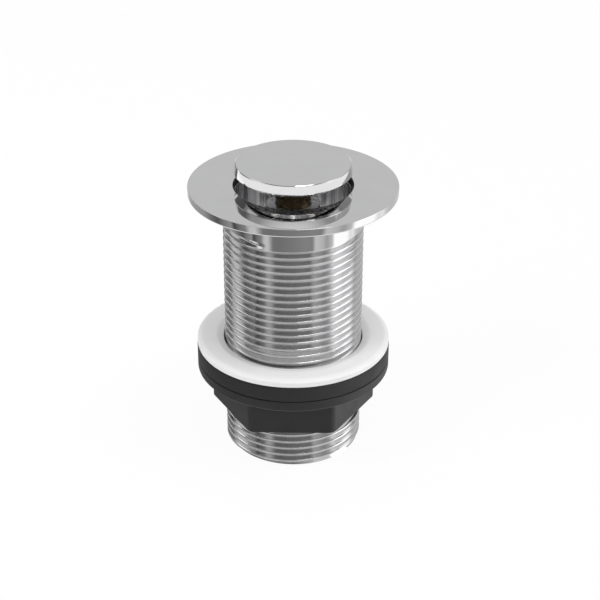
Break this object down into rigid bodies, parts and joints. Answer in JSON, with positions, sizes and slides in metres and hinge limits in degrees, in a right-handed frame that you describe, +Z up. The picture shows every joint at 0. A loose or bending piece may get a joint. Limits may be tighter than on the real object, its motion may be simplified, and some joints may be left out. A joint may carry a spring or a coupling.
{
  "type": "pop up basin waste",
  "caption": "Pop up basin waste: flat round flange on a threaded tube, sprung round plug that presses shut, and washers with a flanged back nut below.",
  "frame": {"origin": "centre of the tail's open end, at the bottom of the part", "axes": "+Z up along the tube to the flange and the plug; +X to the right and +Y away from a viewer of the picture"},
  "size_m": [0.062, 0.062, 0.0923],
  "materials": {
    "chrome": "polished chrome plate",
    "brass": "turned brass, unplated",
    "cast_brass": "cast and plated brass",
    "steel": "drawn stainless steel",
    "white_plastic": "matt polythene",
    "black_plastic": "moulded, fine satin",
    "acetal": "moulded acetal",
    "fibre": "red fibre washer",
    "black_rubber": "matt rubber"
  },
  "bodies": {
    "waste": {"waste_body": "chrome", "mouth_seal": "black_rubber", "cross_bar": "cast_brass", "stud_washer": "fibre", "base_stud": "brass", "stud_nut": "brass", "cartridge_housing": "chrome", "top_bush": "chrome", "wiper_ring": "black_rubber", "cam_sleeve": "acetal", "return_spring": "steel"},
    "plug": {"plug_cap": "chrome", "cap_stud": "brass", "cap_washer": "white_plastic", "plunger_stem": "brass", "pusher_crown": "acetal", "rotor_axle": "steel", "slip_washer": "steel"},
    "rotor": {"latch_rotor": "acetal"},
    "washers": {"white_washer": "white_plastic", "rubber_washer": "black_rubber"},
    "nut": {"back_nut": "black_plastic"}
  },
  "joints": [
    {"name": "plug_press", "type": "slide", "parent": "waste", "child": "plug", "axis": [0, 0, 1], "range_m": [-0.0064, 0], "stiffness_N_per_m": 600, "springref_m": 0.003, "deforming": ["return_spring"]},
    {"name": "latch_turn", "type": "hinge", "parent": "plug", "child": "rotor", "pos_m": [0, 0, 0.066], "axis": [0, 0, 1], "range_deg": [0, 60.5]},
    {"name": "washer_travel", "type": "slide", "parent": "waste", "child": "washers", "axis": [0, 0, 1], "range_m": [-0.0127, 0.047]},
    {"name": "nut_turn", "type": "hinge", "parent": "washers", "child": "nut", "pos_m": [0, 0, 0.02], "axis": [0, 0, 1], "range_deg": [-1960, 7310]}
  ],
  "couplings": [
    {"joint": "latch_turn", "follows": "plug_press", "rad_per_m": -163.62},
    {"joint": "washer_travel", "follows": "nut_turn", "m_per_rad": 0.00036749}
  ]
}
